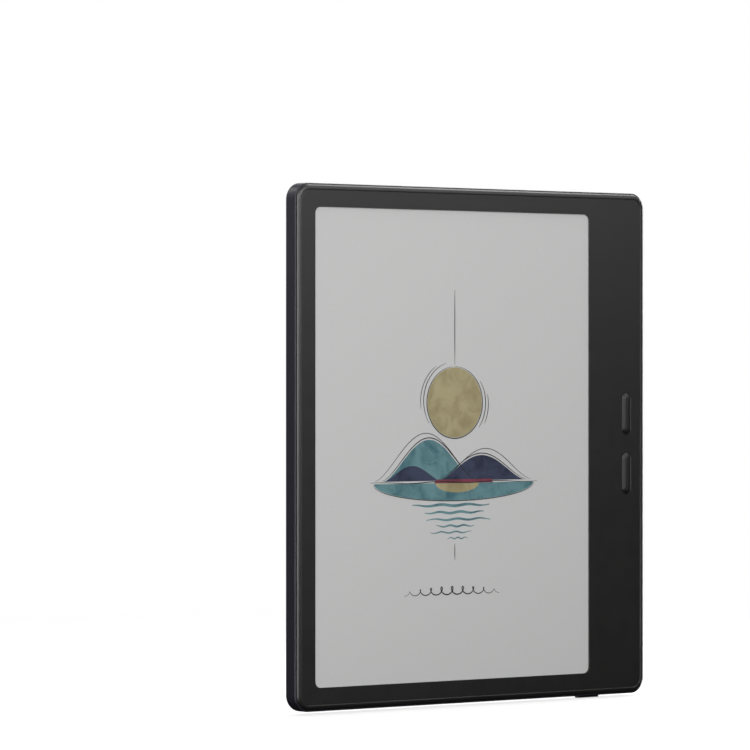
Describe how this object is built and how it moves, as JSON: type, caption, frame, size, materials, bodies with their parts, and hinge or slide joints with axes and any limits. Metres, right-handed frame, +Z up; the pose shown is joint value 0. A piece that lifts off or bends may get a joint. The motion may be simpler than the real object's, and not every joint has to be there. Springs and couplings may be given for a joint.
{
  "type": "e-reader",
  "caption": "Slim upright e-reader with a wide grip side, pill-shaped page keys, a side port, speaker openings, a card tray and a pebbled back.",
  "frame": {"origin": "centre of the back face", "axes": "+X towards the grip side as the reader faces it, +Z up the page, +Y out of the back; the screen faces -Y"},
  "size_m": [0.137, 0.0069, 0.1567],
  "materials": {
    "casing": "fine matt moulding",
    "bezel": "fine matt moulding",
    "keys": "satin moulding",
    "power_key": "satin moulding",
    "leather": "pebbled, matt",
    "adhesive": "double-sided tape",
    "rubber": "black",
    "film": "anti-glare",
    "guide": "clear",
    "light_strip": "flex with diodes",
    "epaper": "electronic paper",
    "flex": "polyimide",
    "frame": "cast, raw",
    "screws": "plated",
    "battery": "foil pouch",
    "tape": "tape",
    "red_wire": "insulation",
    "connector": "moulded",
    "board": "solder resist",
    "shield": "tinned",
    "chips": "moulded",
    "switches": "stamped",
    "usb": "bright",
    "black": "moulded",
    "mesh": "acoustic mesh",
    "gold": "gold plated",
    "antenna": "flex antenna"
  },
  "bodies": {
    "reader": {"rear_casing": "casing", "grip_panel": "leather", "main_panel": "leather", "panel_adhesive": "adhesive", "front_bezel": "bezel", "perimeter_seal": "rubber", "display_gasket": "rubber", "cover_film": "film", "light_guide": "guide", "front_light_strip": "light_strip", "epaper_panel": "epaper", "display_flex": "flex", "touch_flex": "flex", "mid_frame": "frame", "frame_screws": "screws", "battery_pack": "battery", "battery_tape": "tape", "battery_lead": "red_wire", "battery_connector": "connector", "main_board": "board", "shield_can": "shield", "board_chips": "chips", "board_connectors": "connector", "board_screws": "screws", "page_up_switch": "switches", "page_down_switch": "switches", "power_switch": "switches", "power_flex": "flex", "usb_board": "board", "usb_shell": "usb", "usb_tongue": "black", "usb_screws": "screws", "usb_flex": "flex", "speaker_upper": "black", "speaker_lower": "black", "speaker_mesh_upper": "mesh", "speaker_mesh_lower": "mesh", "speaker_leads": "red_wire", "card_socket": "shield", "card_contacts": "gold", "eject_pivot": "screws", "wifi_antenna": "antenna", "antenna_lead": "black"},
    "page_up": {"page_up_button": "keys"},
    "page_down": {"page_down_button": "keys"},
    "power": {"power_button": "power_key"},
    "tray": {"card_tray": "casing", "tray_seal": "rubber", "memory_card": "black"},
    "rod": {"eject_rod": "shield"},
    "lever": {"eject_lever": "shield"}
  },
  "joints": [
    {"name": "page_up_press", "type": "slide", "parent": "reader", "child": "page_up", "axis": [0, 1, 0], "range_m": [0, 0.0003], "stiffness_N_per_m": 1500, "springref_m": -0.0003},
    {"name": "page_down_press", "type": "slide", "parent": "reader", "child": "page_down", "axis": [0, 1, 0], "range_m": [0, 0.0003], "stiffness_N_per_m": 1500, "springref_m": -0.0003},
    {"name": "power_press", "type": "slide", "parent": "reader", "child": "power", "axis": [0, 0, 1], "range_m": [0, 0.0003], "stiffness_N_per_m": 1500, "springref_m": -0.0003},
    {"name": "tray_slide", "type": "slide", "parent": "reader", "child": "tray", "axis": [1, 0, 0], "range_m": [0, 0.0205]},
    {"name": "rod_slide", "type": "slide", "parent": "reader", "child": "rod", "axis": [-1, 0, 0], "range_m": [0, 0.001]},
    {"name": "lever_turn", "type": "hinge", "parent": "reader", "child": "lever", "pos_m": [0.0473, -0.0021, 0.0315], "axis": [0, -1, 0], "range_deg": [0, 24]}
  ],
  "couplings": [
    {"joint": "rod_slide", "follows": "tray_slide", "ratio": 0.04878},
    {"joint": "lever_turn", "follows": "tray_slide", "rad_per_m": 20.433}
  ]
}
